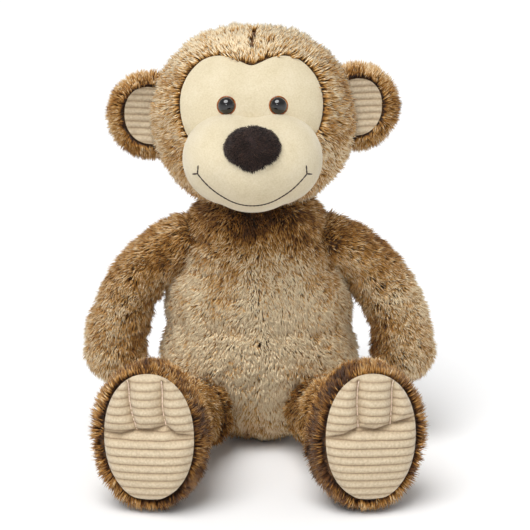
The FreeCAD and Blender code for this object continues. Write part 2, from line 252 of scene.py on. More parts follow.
def thread_finish(name, dark, light):
    finish = Finish(name, 0.6)
    finish.feed("Base Color", finish.ramp(finish.grain(1500.0), [(0.35, tone(dark)), (0.65, tone(light))]))
    finish.bump(finish.grain(2500.0), 0.0002, 0.5)
    return finish.material


dark_thread = thread_finish("dark_thread", "20120C", "3C261C")
cream_thread = thread_finish("cream_thread", "D8BCA4", "F2DECC")
brown_thread = thread_finish("brown_thread", "3A2414", "6A4626")


def gloss_finish(name, dark, light, roughness):
    finish = Finish(name, roughness, Coat_Weight=0.6, Coat_Roughness=0.03)
    finish.feed("Base Color", finish.ramp(finish.grain(500.0), [(0.4, tone(dark)), (0.6, tone(light))]))
    return finish.material


eye_black = gloss_finish("eye_black", "050303", "0B0706", 0.06)
eye_amber = gloss_finish("eye_amber", "7A3A10", "A8601E", 0.12)
washer_white = gloss_finish("washer_white", "D8D8D2", "E6E6E0", 0.4)
print(len(bpy.data.materials), "finishes in all")

# %% [markdown]
# ## Stuffed forms
# A stuffed limb is round and seamless under its fur. A few balls are overlapped, wrapped
# in one skin by a voxel remesh, and smoothed until the joins are gone. That is quicker to
# adjust than a modelled cage and never leaves a hole for the hair to miss.

# %% Stuffed form helper
def apply_modifiers(piece):
    """Works a piece's modifiers into its mesh."""
    graph = bpy.context.evaluated_depsgraph_get()
    mesh = bpy.data.meshes.new_from_object(piece.evaluated_get(graph))
    piece.modifiers.clear()
    old = piece.data
    piece.data = mesh
    bpy.data.meshes.remove(old)


def piece_of(name, shape, material, smooth=True):
    mesh = bpy.data.meshes.new(name)
    shape.to_mesh(mesh)
    shape.free()
    mesh.materials.append(material)
    for face in mesh.polygons:
        face.use_smooth = smooth
    piece = bpy.data.objects.new(name, mesh)
    bpy.context.scene.collection.objects.link(piece)
    return piece


def stuffed(name, balls, material, voxel=3.0, rounds=8):
    """One soft skin round overlapping balls, each a centre, radii and a turn."""
    shape = bmesh.new()
    for centre, radii, turn in balls:
        place = Matrix.Translation(centre) @ turn.to_4x4() @ Matrix.Diagonal((*(Vector(radii) * MM), 1))
        bmesh.ops.create_uvsphere(shape, u_segments=40, v_segments=24, radius=1, matrix=place)
    piece = piece_of(name, shape, material)
    remesh = piece.modifiers.new("skin", "REMESH")
    remesh.mode = "VOXEL"
    remesh.voxel_size = voxel * MM
    remesh.use_smooth_shade = True
    soften = piece.modifiers.new("soften", "SMOOTH")
    soften.factor = 0.5
    soften.iterations = rounds
    apply_modifiers(piece)
    piece.data.materials.clear()
    piece.data.materials.append(material)
    print(name, len(piece.data.polygons), "faces")
    return piece


LEVEL = Matrix.Identity(3)

# %% [markdown]
# ## Fur as real hairs
# Hair particles would stay behind when the model leaves Blender, so each bit of pile is
# a thin three-sided spindle: widest two thirds of the way up, where a frosted tip shows.
# One spindle is shaped with bmesh and copies are set over a skin. Neighbours share slow
# noise, so that they clump into locks as brushed plush does.

# %% One hair
WIDEST = 0.62


def hair_shape():
    """One spindle, a unit long and wide: its points and its triangles."""
    shape = bmesh.new()
    bmesh.ops.create_cone(shape, cap_ends=True, segments=3, radius1=0.02, radius2=0.5, depth=WIDEST,
                          matrix=Matrix.Translation((0, 0, WIDEST / 2)))
    top = max(shape.faces, key=lambda face: face.calc_center_median().z)
    tip = bmesh.ops.poke(shape, faces=[top])["verts"][0]
    tip.co.z = 1.0
    bmesh.ops.remove_doubles(shape, verts=shape.verts, dist=0.1)
    points = np.array([vert.co[:] for vert in shape.verts])
    faces = np.array([[vert.index for vert in face.verts] for face in shape.faces])
    shape.free()
    return points, faces


HAIR_POINTS, HAIR_FACES = hair_shape()
print("each hair has", len(HAIR_FACES), "triangles")

# %% [markdown]
# ## Roots on a skin
# The knit behind real plush holds a tuft at every stitch. Points scattered by area over
# the skin's triangles give the same even cover, and numpy does it for a whole coat at once.
# Blender's noise takes its seed from the clock unless it is given one, so it is given one
# here, and the locks lie the same way each time.

# %% Roots on a skin
NOISE_SEED = 1
noise.seed_set(NOISE_SEED)


def lean_noise(points, scale, seed):
    """Slow vector noise at each point, the same for near neighbours."""
    shift = Vector((seed * 7.3, seed * 3.1, seed * 5.7))
    return np.array([noise.noise_vector(Vector(p) * scale + shift)[:] for p in points])


def unit(vectors):
    return vectors / np.maximum(np.linalg.norm(vectors, axis=1), 1e-9)[:, None]


def read(items, name, kind, width=3):
    """A mesh's numbers as rows of an array."""
    values = np.empty(len(items) * width, kind)
    items.foreach_get(name, values)
    return values.reshape(-1, width)


def roots_on(skin, count, draw):
    """Evenly scattered points on a skin, with its normals there."""
    mesh = skin.data
    mesh.calc_loop_triangles()
    corners = read(mesh.loop_triangles, "vertices", int)
    spots = read(mesh.vertices, "co", float)
    normals = read(mesh.vertex_normals, "vector", float)
    a, b, c = (spots[corners[:, i]] for i in range(3))
    area = np.linalg.norm(np.cross(b - a, c - a), axis=1)
    chosen = draw.choice(len(area), size=count, p=area / area.sum())
    u, v = draw.random((2, count))
    over = u + v > 1
    u[over], v[over] = 1 - u[over], 1 - v[over]
    shares = (1 - u - v, u, v)
    roots = sum(spots[corners[chosen, i]] * share[:, None] for i, share in enumerate(shares))
    facing = sum(normals[corners[chosen, i]] * share[:, None] for i, share in enumerate(shares))
    return roots, unit(facing)


# %% [markdown]
# ## A coat of hairs
# Each hair stands off the skin, lies the way the pile is brushed and leans with its lock.
# The three are added with weights, and no hair may lie flatter than a set amount. Lengths
# and widths are in millimetres, and the curl is a share of the length.

# %% Fur coat helper
CURL = 0.3
SUNK = 1.0
LOWEST = 0.5
FLATTEST = 0.35
LOCK_SCALE = 45
STRAND_SCALE = 140
LOOSE = 0.17
RUFFLE = 0.5
TINT_SPREAD = 0.6


def hair_lie(roots, facing, brushed, seed, draw, stand, lay):
    """Which way each hair points, and the direction across it."""
    brushed = unit(brushed - facing * np.sum(brushed * facing, axis=1)[:, None])
    wander = lean_noise(roots, LOCK_SCALE, seed) + 0.9 * lean_noise(roots, STRAND_SCALE, seed + 40)
    loose = draw.normal(size=roots.shape) * LOOSE
    direction = unit(facing * stand + brushed * lay + wander * RUFFLE + loose)
    outward = np.sum(direction * facing, axis=1)
    direction = unit(direction + facing * np.clip(FLATTEST - outward, 0, None)[:, None])
    return direction, unit(np.cross(direction, brushed + wander * 0.6))


def hair_spots(roots, facing, direction, side, long, thick):
    """The places of every hair's points, one row for each hair."""
    curl = np.cross(side, direction)
    x, y, z = (HAIR_POINTS[:, i] for i in range(3))
    across = side[:, None, :] * (thick[:, None] * x)[:, :, None]
    over = curl[:, None, :] * (thick[:, None] * y + long[:, None] * CURL * z ** 2)[:, :, None]
    up = direction[:, None, :] * (long[:, None] * z)[:, :, None]
    points = (roots - facing * SUNK * MM)[:, None, :] + across + over + up
    points[:, :, 2] = np.maximum(points[:, :, 2], LOWEST * MM)
    return points


def hair_mesh(name, points):
    """One mesh that holds a copy of the spindle's triangles for every hair."""
    total, size = points.shape[:2]
    corners = HAIR_FACES.ravel()[None, :] + size * np.arange(total)[:, None]
    mesh = bpy.data.meshes.new(name)
    mesh.vertices.add(total * size)
    mesh.vertices.foreach_set("co", points.ravel())
    mesh.loops.add(corners.size)
    mesh.loops.foreach_set("vertex_index", corners.ravel())
    mesh.polygons.add(corners.size // 3)
    mesh.polygons.foreach_set("loop_start", np.arange(0, corners.size, 3))
    mesh.update(calc_edges=True)
    mesh.polygons.foreach_set("use_smooth", np.ones(len(mesh.polygons), bool))
    return mesh


def even(points, facing):
    return np.zeros(len(points))


def fur_coat(name, skin, count, comb, seed, material, length=9.0, width=0.78, stand=0.95,
             lay=0.55, keep=None, painted_light_and_tone=even):
    """Hairs over a skin.

    comb is the way the pile is brushed, keep chooses where it grows, and the last function shifts each
    hair's tone by place: painted light where light falls, painted shade where shade falls, and some plain
    darker tone. stand and lay weigh the skin's normal and the brushing in each hair's direction.
    """
    draw = np.random.default_rng(seed)
    roots, facing = roots_on(skin, count, draw)
    if keep is not None:
        kept = keep(roots / MM, facing)
        roots, facing = roots[kept], facing[kept]
    total = len(roots)
    brushed = comb(roots / MM, facing)
    direction, side = hair_lie(roots, facing, brushed, seed, draw, stand, lay)
    long = length * MM * draw.uniform(0.7, 1.12, total)
    thick = width * MM * draw.uniform(0.65, 1.3, total)
    mesh = hair_mesh(name, hair_spots(roots, facing, direction, side, long, thick))
    # Each hair's value is its random tone plus the painted light and shade of its place.
    tint = draw.normal(0, TINT_SPREAD, total) + painted_light_and_tone(roots / MM, facing)
    along = np.tile(HAIR_POINTS[:, 2], total)
    for label, values in (("along", along), ("tint", np.repeat(tint, len(HAIR_POINTS)))):
        mesh.attributes.new(label, "FLOAT", "POINT").data.foreach_set("value", values)
    mesh.materials.append(material)
    coat = bpy.data.objects.new(name, mesh)
    bpy.context.scene.collection.objects.link(coat)
    print(name, total, "hairs,", len(mesh.polygons), "triangles")
    return coat


# %% [markdown]
# ## Body
# The body is a soft pear: a wide seat, a round belly and sloping shoulders. Four balls one above the other
# give that outline. The pile is brushed downwards and away from the middle, and is thickest on the belly,
# which is seen most. Light and shade are painted into its colour: the belly is paler where the light
# falls, and the fur under the chin and at the seat is darker where shade falls.

# %% Body
FLOOR_CLEARANCE = 1.5
FUR_TOP = 176
BELLY_HAIRS = 115000
BACK_HAIRS = 58000
body_skin = stuffed("body_skin", [
    (at(0, 1, 60), (67, 55, 57), LEVEL),
    (at(0, 1, 96), (63, 48, 56), LEVEL),
    (at(0, 0, 132), (50, 39, 40), LEVEL),
    (at(-1, 0, 156), (47, 34, 28), LEVEL),
], ground)
for vert in body_skin.data.vertices:
    vert.co.z = max(vert.co.z, FLOOR_CLEARANCE * MM)


def body_comb(points, facing):
    comb = np.tile([0.0, 0.0, -1.0], (len(points), 1))
    comb[:, 0] += points[:, 0] / 160
    return comb


def front(points, facing):
    return (points[:, 1] < 0) & (points[:, 2] < FUR_TOP)


def behind(points, facing):
    return (points[:, 1] >= 0) & (points[:, 2] < FUR_TOP)


def body_painted_light(points, facing):
    """Painted light and shade: palest over the belly, where the light falls, and darkest under the chin,
    in the head's shadow, and at the seat, in shade by the floor.
    """
    x, z = points[:, 0], points[:, 2]
    # belly is painted light; chin and seat are painted shade.
    belly = np.exp(-((x - 2) / 55) ** 2 - ((z - 84) / 42) ** 2)
    chin = np.exp(-(x / 46) ** 2 - ((z - 172) / 19) ** 2)
    seat = np.exp(-((z - 4) / 20) ** 2)
    return 2.5 * belly - 2.9 * chin - 0.8 * seat


def front_half(side):
    def keep(points, facing):
        return front(points, facing) & (points[:, 0] * side >= 0)
    return keep


for side_name, side in SIDES.items():
    belly_fur = fur_coat("belly_fur_" + side_name, body_skin, BELLY_HAIRS, body_comb, 3 + side, fur,
                         keep=front_half(side), painted_light_and_tone=body_painted_light, width=0.95, stand=0.85, lay=0.6)
    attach(belly_fur, "torso")
back_fur = fur_coat("back_fur", body_skin, BACK_HAIRS, body_comb, 2, fur, keep=behind, width=0.9)
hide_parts("torso_front_panel", "torso_back_left_panel", "torso_back_right_panel",
            "seat_panel", "torso_stuffing", "pellet_pouch", "back_seam_stitches")
for piece in (body_skin, back_fur):
    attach(piece, "torso")

# %% [markdown]
# ## Head
# The head is a ball a little wider than tall, made of two balls side by side. Its pile
# parts at the seam up the forehead and is brushed back, away from the face. No hair grows
# where the cream face is sewn in.

# %% Head
HEAD = (-4.0, -4.0, 233.5)
HEAD_RADIUS = 62.5
HEAD_WIDENING = 7.0
HEAD_HAIRS = 60000
head_skin = stuffed("head_skin", [
    (at(HEAD[0] + side * HEAD_WIDENING, HEAD[1], HEAD[2]), (60, 60, 60), LEVEL)
    for side in SIDES.values()], ground, rounds=3)

FACE_MIDDLE = (-4.8, 240.0)
EDGE_TUCK = 2.2
FACE_REACH = {
    0: 33.0, 8: 35.0, 15: 38.3, 22: 42.3, 30: 45.6, 40: 48.8, 50: 49.8, 60: 50.3, 70: 50.0, 80: 48.8,
    92: 47.0, 104: 45.5, 114: 42.5, 130: 38.0, 180: 34.0}


def mask_reach(angle):
    """How far the face's edge is from its middle, by the angle round from straight up."""
    turn = abs((math.degrees(angle) - 90 + 180) % 360 - 180)
    angles, reaches = list(FACE_REACH), list(FACE_REACH.values())
    near = [np.interp(abs(turn + step), angles, reaches) for step in range(-4, 5, 2)]
    return sum(near) / len(near)


def in_face(points):
    """Whether each point is under the cream face."""
    x = points[:, 0] - FACE_MIDDLE[0]
    z = points[:, 2] - FACE_MIDDLE[1]
    angles = np.linspace(-math.pi, math.pi, 361)
    reach = np.interp(np.arctan2(z, x), angles, [mask_reach(angle) for angle in angles])
    inside = np.hypot(x, z) < reach - EDGE_TUCK
    return inside & (points[:, 1] < HEAD[1])


def head_comb(points, facing):
    away = points - np.array([FACE_MIDDLE[0], -75.0, 250.0])
    away[:, 2] -= 12
    from_seam = points[:, 0] - HEAD[0]
    parting = np.exp(-(from_seam / 3) ** 2) * (points[:, 2] > 279) * (points[:, 1] < -5)
    away[:, 0] += 70 * np.sign(from_seam) * parting
    return away


def head_half(side):
    def keep(points, facing):
        return ~in_face(points) & ((points[:, 0] - HEAD[0]) * side >= 0)
    return keep


def head_painted_light(points, facing):
    """Painted light and shade: palest on the crown, where the light from above falls, and darkest beside
    the chin, in shade under the head.
    """
    crown = np.clip((points[:, 2] - 262) / 30, 0, 1)
    jaw = np.clip((215 - points[:, 2]) / 40, 0, 1)
    return 0.1 + 1.2 * crown - 1.1 * jaw


for side_name, side in SIDES.items():
    coat = fur_coat("head_fur_" + side_name, head_skin, HEAD_HAIRS, head_comb, 10 + side, fur,
                    keep=head_half(side), width=0.88, painted_light_and_tone=head_painted_light)
    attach(coat, "head")
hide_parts("head_left_panel", "head_right_panel", "head_back_panel", "head_stuffing")
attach(head_skin, "head")

# %% [markdown]
# ## Patches that lie on a form
# The face, the soles and the ear linings are flat cloth drawn over a round form. Each
# starts as a spoke of points spun into a disc, whose rings are then stretched to the
# outline and laid on the form.

# %% Patch helper
def spun_disc(rings, spokes):
    """A flat disc of radius 1 in the XZ plane, facing -Y."""
    shape = bmesh.new()
    spoke = [shape.verts.new((i / rings, 0, 0)) for i in range(rings + 1)]
    edges = [shape.edges.new(pair) for pair in zip(spoke[:-1], spoke[1:])]
    bmesh.ops.spin(shape, geom=spoke + edges, cent=(0, 0, 0), axis=(0, 1, 0), angle=math.tau,
                   steps=spokes, use_merge=True)
    bmesh.ops.remove_doubles(shape, verts=shape.verts, dist=1e-5)
    bmesh.ops.recalc_face_normals(shape, faces=shape.faces)
    facing = sum((face.normal for face in shape.faces), Vector())
    if facing.y > 0:
        bmesh.ops.reverse_faces(shape, faces=shape.faces)
    return shape


def patch(name, material, rings, spokes, lay):
    """lay(share, angle) gives the place of a point that is share of the way out."""
    shape = spun_disc(rings, spokes)
    for vert in shape.verts:
        share = min(math.hypot(vert.co.x, vert.co.z), 1.0)
        vert.co = lay(share, math.atan2(vert.co.z, vert.co.x))
    return piece_of(name, shape, material)


def head_front(x, z):
    """How far forward the head's surface is at a place seen from the front."""
    over = max(abs(x - HEAD[0]) - HEAD_WIDENING, 0)
    left = HEAD_RADIUS ** 2 - over ** 2 - (z - HEAD[2]) ** 2
    return HEAD[1] - math.sqrt(max(left, 0))


# %% [markdown]
# ## Face
# The cream face is two lobes over the eyes, softly padded: highest in the middle and
# tucked into the fur at its edge. A flat disc stretched to that outline and laid on the
# head keeps its rings even, where a patch cut out of the head would have ragged edges.

# %% Face
PADDING = 1.6


def lay_face(share, angle):
    reach = mask_reach(angle) * share
    x = FACE_MIDDLE[0] + reach * math.cos(angle)
    z = FACE_MIDDLE[1] + reach * math.sin(angle)
    lift = PADDING * (1 - 2 * share ** 6)
    return at(x, head_front(x, z) - lift, z)


face = patch("face_mask", velour.material, 40, 160, lay_face)
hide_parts("face_mask_panel")
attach(face, "head")
print("face", len(face.data.polygons), "faces")

# %% [markdown]
# ## Muzzle
# The muzzle is a stuffed dome, sewn on round its edge and fuller at the cheeks. Three
# overlapping balls give the cheeks, and its surface is kept for the smile to be laid on.

# %% Muzzle
MUZZLE = (-4.0, -60.0, 210.0)
muzzle = stuffed("muzzle", [
    (at(MUZZLE[0], MUZZLE[1], MUZZLE[2] - 1), (37, 43, 32.5), LEVEL),
    (at(MUZZLE[0] - 15, MUZZLE[1], MUZZLE[2] + 2.5), (32, 39.5, 31), LEVEL),
    (at(MUZZLE[0] + 15, MUZZLE[1], MUZZLE[2] + 2.5), (32, 39.5, 31), LEVEL),
], velour.material, voxel=1.8, rounds=10)
muzzle_surface = BVHTree.FromObject(muzzle, bpy.context.evaluated_depsgraph_get())
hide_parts("muzzle_panel", "muzzle_stuffing")
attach(muzzle, "head")

# %% [markdown]
# ## Nose
# The nose is a padded oval of dark plush, drawn in a little below. It is made like the
# limbs, and its pile uses the same hairs, only much shorter and finer.

# %% Nose
NOSE = (-4.0, -98.0, 224.5)
NOSE_HAIRS = 6500
nose = stuffed("nose", [
    (at(*NOSE), (17.5, 9.5, 13.2), LEVEL),
    (at(NOSE[0], NOSE[1] - 0.5, NOSE[2] - 5), (10, 8.5, 11), LEVEL),
], nose_ground, voxel=1.2, rounds=4)


def nose_comb(points, facing):
    away = points - np.array(NOSE)
    away[:, 2] -= 3
    return away


nose_pile = fur_coat("nose_fur", nose, NOSE_HAIRS, nose_comb, 20, nose_fur, length=3.2,
                     width=0.5, stand=0.9, lay=0.5)
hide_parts("nose_cover", "nose_stuffing")
for piece in (nose, nose_pile):
    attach(piece, "head")

# %% [markdown]
# ## Smile
# The smile is sewn as a row of back stitches, with a small upright stitch and a tick at
# each corner. Stitches are short rounded rods laid on the muzzle, rather than a drawn
# line, so that they catch the light as thread does.

# %% Smile
def muzzle_front(x, z):
    """How far forward the stuffed muzzle is at a place seen from the front."""
    hit = muzzle_surface.ray_cast(at(x, -300, z), Vector((0, 1, 0)))[0]
    return hit.y / MM


def stitch(shape, start, end, radius):
    """One rounded stitch between two places on a surface."""
    along = end - start
    turn = along.to_track_quat("Z", "Y").to_matrix().to_4x4()
    size = Matrix.Diagonal((radius, radius, along.length / 2 + radius * 0.6, 1))
    bmesh.ops.create_uvsphere(shape, u_segments=10, v_segments=8, radius=1,
                              matrix=Matrix.Translation((start + end) / 2) @ turn @ size)


def sew(name, lines, surface, material, radius=0.55, step=2.6, lift=0.15):
    """Back stitches along lines given as places seen from the front."""
    shape = bmesh.new()
    for line in lines:
        spots = [Vector(spot) for spot in line]
        path = []
        for first, second in zip(spots[:-1], spots[1:]):
            count = max(1, round((second - first).length / step))
            path += [first.lerp(second, i / count) for i in range(count)]
        path.append(spots[-1])
        places = [at(x, surface(x, z) - lift, z) for x, z in path]
        for start, end in zip(places[:-1], places[1:]):
            stitch(shape, start, end, radius * MM)
    return piece_of(name, shape, material)


SMILE_LOW = 185.5
SMILE_HALF = 35.5
SMILE_RISE = 21.0
SMILE_HALF_POINTS = 15
smile_line = []
for i in range(2 * SMILE_HALF_POINTS + 1):
    u = i / SMILE_HALF_POINTS - 1
    smile_line.append((MUZZLE[0] + u * SMILE_HALF, SMILE_LOW + SMILE_RISE * abs(u) ** 2.1))
corner_z = SMILE_LOW + SMILE_RISE
smile_marks = [smile_line]
for side in SIDES.values():
    x = MUZZLE[0] + side * SMILE_HALF
    smile_marks.append([(x, corner_z), (x - side * 0.5, corner_z + 5.5)])
    smile_marks.append([(x, corner_z), (x + side * 3.6, corner_z - 1.0)])
smile = sew("smile", smile_marks, muzzle_front, dark_thread)
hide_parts("smile_thread")
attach(smile, "head")
print("smile", len(smile.data.polygons), "faces")

# %% [markdown]
# ## Eyes
# Each eye is a black plastic dome with a thin amber rim showing round it, snapped through
# the cloth. The dome is a ball squashed along its axis and half sunk, and the rim is a
# spun ring.

# %% Eyes
EYE_X = 17.0
EYE_Z = 248.0
EYE_RADIUS = 5.7
EYE_DOME = 4.6
EYE_RIM = 6.0
RIM_THICKNESS = 0.6
EYE_SEAT = -0.6


def set_on_face(x, z, raised):
    """The place and turn of something that sits on the face, with its Z axis outwards."""
    spot = Vector((x, head_front(x, z), z))
    middle = Vector(HEAD)
    middle.x += math.copysign(HEAD_WIDENING, x - HEAD[0])
    outward = (spot - middle).normalized()
    turn = outward.to_track_quat("Z", "Y").to_matrix().to_4x4()
    return Matrix.Translation((spot + outward * (PADDING + raised)) * MM) @ turn


def spun_ring(shape, radius, thickness, steps):
    """A ring about Z, spun in an empty shape from a small circle."""
    upright = Matrix.Translation((radius * MM, 0, 0)) @ Matrix.Rotation(math.pi / 2, 4, "X")
    bmesh.ops.create_circle(shape, segments=10, radius=thickness * MM, matrix=upright)
    bmesh.ops.spin(shape, geom=shape.verts[:] + shape.edges[:], cent=(0, 0, 0), axis=(0, 0, 1),
                   angle=math.tau, steps=steps, use_merge=True)
    bmesh.ops.recalc_face_normals(shape, faces=shape.faces)


for side_name, side in SIDES.items():
    seat = set_on_face(HEAD[0] + side * EYE_X, EYE_Z, EYE_SEAT)
    squash = Matrix.Diagonal((EYE_RADIUS * MM, EYE_RADIUS * MM, EYE_DOME * MM, 1))
    dome_shape = bmesh.new()
    bmesh.ops.create_uvsphere(dome_shape, u_segments=48, v_segments=24, radius=1, matrix=seat @ squash)
    dome = piece_of("eye_dome_" + side_name, dome_shape, eye_black)
    rim_shape = bmesh.new()
    spun_ring(rim_shape, EYE_RIM, RIM_THICKNESS, 48)
    bmesh.ops.transform(rim_shape, matrix=seat, verts=rim_shape.verts)
    rim = piece_of("eye_rim_" + side_name, rim_shape, eye_amber)
    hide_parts("eye_%s_dome" % side_name)
    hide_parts("eye_%s_amber_ring" % side_name)
    for piece, slot in ((dome, "eye_black"), (rim, "eye_amber")):
        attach(piece, "head")
    print(dome.name, "and", rim.name, len(dome.data.polygons) + len(rim.data.polygons), "faces")

# %% [markdown]
# ## Ears
# Each ear is a padded disc whose front is pressed into a shallow cup. Corduroy lines the
# cup, and fur stands round the rim. The ribs are real ridges in a grid whose rows follow
# them, since a painted rib would look flat from the side.

# %% Ears
EAR_MIDDLE = {"right": (-79.0, 2.0, 235.0), "left": (71.0, 2.0, 241.0)}
EAR_RADII = (24.5, 6.0, 25.5)
CUP_RADII = (17.5, 20.0)
CUP_DEPTH = 3.2
CORD_PITCH = 4.7
CUP_EDGE = 1.3
LINING_BACK = 5.0
RIB_HEIGHT = 0.9
ROUNDNESS = 2.15
TILT = 0.06
EAR_HAIRS = 15000


def ribbed(height, pitch):
    """Corduroy: round ribs with narrow valleys, from 0 to 1."""
    return abs(math.sin(math.pi * height / pitch)) ** 0.6


def ribbed_patch(name, radii, pitch, lay):
    """A rounded patch whose rows follow the ribs. lay gives each point's place and its rib, whose low
    values colour the valleys as painted shade.
    """
    shape = bmesh.new()
    bmesh.ops.create_grid(shape, x_segments=44, y_segments=round(20 * radii[1] / pitch), size=0.999)
    ribs = []
    for vert in shape.verts:
        across, up = vert.co.x, vert.co.y
        x = across * radii[0] * (1 - abs(up) ** ROUNDNESS) ** (1 / ROUNDNESS)
        vert.co, rib = lay(x, up * radii[1], max(abs(across), abs(up)))
        ribs.append(rib)
    piece = piece_of(name, shape, corduroy.material)
    piece.data.attributes.new("rib", "FLOAT", "POINT").data.foreach_set("value", ribs)
    return piece


def from_cup(x, z, middle, side):
    """1 at the edge of an ear's cup, less inside it, for numbers and for arrays."""
    across = (x - middle[0] + side * 2) / CUP_RADII[0]
    up = (z - middle[2]) / CUP_RADII[1]
    return across * across + up * up


for side_name, side in SIDES.items():
    middle = EAR_MIDDLE[side_name]
    ear_skin = stuffed("ear_skin_" + side_name, [
        (at(middle[0] - side * 2, middle[1], middle[2]), EAR_RADII, LEVEL),
        (at(middle[0] - side * 10, middle[1], middle[2]), (16, 5.5, 20), LEVEL),
    ], ground, voxel=1.6, rounds=3)
    for vert in ear_skin.data.vertices:
        away = from_cup(vert.co.x / MM, vert.co.z / MM, middle, side)
        if vert.co.y < middle[1] * MM and away < CUP_EDGE:
            vert.co.y += (CUP_DEPTH + 2.5) * MM * (1 - away / CUP_EDGE)

    def lay_lining(x, z, share, middle=middle, side=side):
        rib = ribbed(z, CORD_PITCH)
        cup = CUP_DEPTH * (1 - share ** 2) - LINING_BACK - RIB_HEIGHT * rib * (1 - share ** 8)
        return at(middle[0] - side * 2 + x, middle[1] + cup, middle[2] + z + side * TILT * x), rib

    lining = ribbed_patch("ear_lining_" + side_name, CUP_RADII, CORD_PITCH, lay_lining)

    def ear_comb(points, facing, middle=middle):
        away = points - np.array(middle)
        away[:, 1] *= 0.2
        return away

    # Darker all over, and darker still where the fur faces forward.
    def ear_darkening(points, facing):
        return -0.6 - 0.5 * (facing[:, 1] < 0)

    def ear_keep(points, facing, middle=middle, side=side):
        return (facing[:, 1] > -0.35) | (from_cup(points[:, 0], points[:, 2], middle, side) > 0.95)

    coat = fur_coat("ear_fur_" + side_name, ear_skin, EAR_HAIRS, ear_comb, 30 + side, fur,
                    stand=0.8, lay=0.6, keep=ear_keep, painted_light_and_tone=ear_darkening)
    body = "ear_" + side_name
    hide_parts(body + "_fur_back", body + "_batting")
    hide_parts(body + "_lining")
    for piece, slot in ((ear_skin, "fur"), (coat, "fur"), (lining, "corduroy")):
        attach(piece, body)

# %% [markdown]
# ## Arms
# Each arm hangs from the shoulder in one easy curve and ends in a plain rounded hand.
# Balls strung along that curve give the form, and the pile runs down to the hand.

# %% Arms
SHOULDER = Vector((51, 0, 146))
ELBOW = Vector((88, -6, 116))
HAND = Vector((103, -16, 68))
ARM_BALLS = 11
ARM_RADIUS = 15.5
HAND_SWELL = 2.4
ARM_HAIRS = 26000


def bezier_arc(share):
    """The arm's line, which passes the elbow half way from the shoulder to the hand."""
    control = 2 * ELBOW - (SHOULDER + HAND) / 2
    return SHOULDER * (1 - share) ** 2 + control * 2 * share * (1 - share) + HAND * share ** 2


def arm_painted_shade(points, facing):
    """Painted shade: darker at the shoulder, under the head, and on the inside, which faces the body."""
    inside = np.clip(-facing[:, 0] * np.sign(points[:, 0]), 0, 1)
    return 0.2 - 1.3 * np.clip((points[:, 2] - 118) / 35, 0, 1) - 0.6 * inside


for side_name, side in SIDES.items():
    mirror = Vector((side, 1, 1))
    line = [bezier_arc(i / (ARM_BALLS - 1)) * mirror for i in range(ARM_BALLS)]
    balls = []
    for i, spot in enumerate(line):
        share = i / (ARM_BALLS - 1)
        radius = ARM_RADIUS + HAND_SWELL * share
        balls.append((spot * MM, (radius, radius, radius), LEVEL))
    arm_skin = stuffed("arm_skin_" + side_name, balls, ground, rounds=5)

    def arm_comb(points, facing, line=line):
        spots = np.array([spot[:] for spot in line])
        near = np.argmin(np.linalg.norm(points[:, None, :] - spots[None, :, :], axis=2), axis=1)
        return spots[np.minimum(near + 1, len(spots) - 1)] - spots[np.maximum(near - 1, 0)]

    coat = fur_coat("arm_fur_" + side_name, arm_skin, ARM_HAIRS, arm_comb, 40 + side, fur, painted_light_and_tone=arm_painted_shade)
    body = "arm_" + side_name
    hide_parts(body + "_front_panel", body + "_back_panel", body + "_stuffing")
    for piece in (arm_skin, coat):
        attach(piece, body)

# %% [markdown]
# ## Legs and soles
# Each leg is a short stuffed tube with a tall foot turned up at its end. The sole is
# corduroy, drawn into three toes by two stitches and a crease. The grooves are worked out
# from how far each point is from those lines, so the ribs sink into them as real ribs do.

# %% Legs
HIP = Vector((44, -50, 33))
FOOT = Vector((68, -143, 48))
SPLAY = math.atan2(FOOT.x - HIP.x, HIP.y - FOOT.y)
SOLE_DEPTH = 22.0
SOLE_RADII = (29.5, 41.0)
SOLE_MIDDLE = {"right": (4.7, 3.8), "left": (-2.3, 3.8)}
SOLE_PITCH = 5.2
SOLE_BED = 5
LEG_HAIRS = 36000
TOE_STITCHES = {
    "right": [[(-12.0, 37.0), (-11.9, 24.4), (-10.1, 14.8), (-7.0, 5.3)],
              [(9.9, 38.0), (9.6, 22.8), (10.7, 14.6), (12.0, 9.5)]],
    "left": [[(-9.6, 38.0), (-10.0, 22.7), (-9.2, 7.8)],
             [(12.5, 37.0), (12.7, 20.9), (11.7, 8.0)]]}
TOE_CREASES = {
    "right": [(-30.0, 1.6), (-17.6, 1.6), (-7.0, 5.3), (2.1, 5.7), (12.0, 9.5), (18.4, 4.2), (30.0, 3.7)],
    "left": [(-30.0, 2.4), (-18.2, 3.6), (-9.2, 7.8), (1.3, 5.2), (11.7, 8.0), (20.9, 9.8), (30.0, 11.8)]}


def away_from(x, z, line):
    """How far a place is from a line of points."""
    spot = Vector((x, z))
    nearest = 99.0
    for start, end in zip(line[:-1], line[1:]):
        start, end = Vector(start), Vector(end)
        along = end - start
        share = min(max((spot - start).dot(along) / along.length_squared, 0), 1)
        nearest = min(nearest, (spot - start - share * along).length)
    return nearest


def toe_groove(x, z, side_name):
    """How much the stitches and the crease pull the sole in, from 0 to 1."""
    lines = TOE_STITCHES[side_name] + [TOE_CREASES[side_name]]
    near = min(away_from(x, z, line) for line in lines)
    return 0.7 * math.exp(-(near / 4.5) ** 2) + 0.3 * math.exp(-(near / 1.2) ** 2)


def from_sole(x, z):
    """1 at the sole's edge, less inside it, for numbers and for arrays."""
    return (x / SOLE_RADII[0]) ** 2 + (z / SOLE_RADII[1]) ** 2


def sole_front(x, z, side_name):
    """The padded sole's front, without its ribs."""
    share = min(from_sole(x, z), 1.0)
    heel = 1.5 * math.exp(-((z + 16) / 15) ** 2)
    pad = (3.5 + heel) * (1 - share ** 2)
    groove = 6.0 * toe_groove(x, z, side_name) * (1 - share ** 4)
    return -SOLE_DEPTH - pad + groove


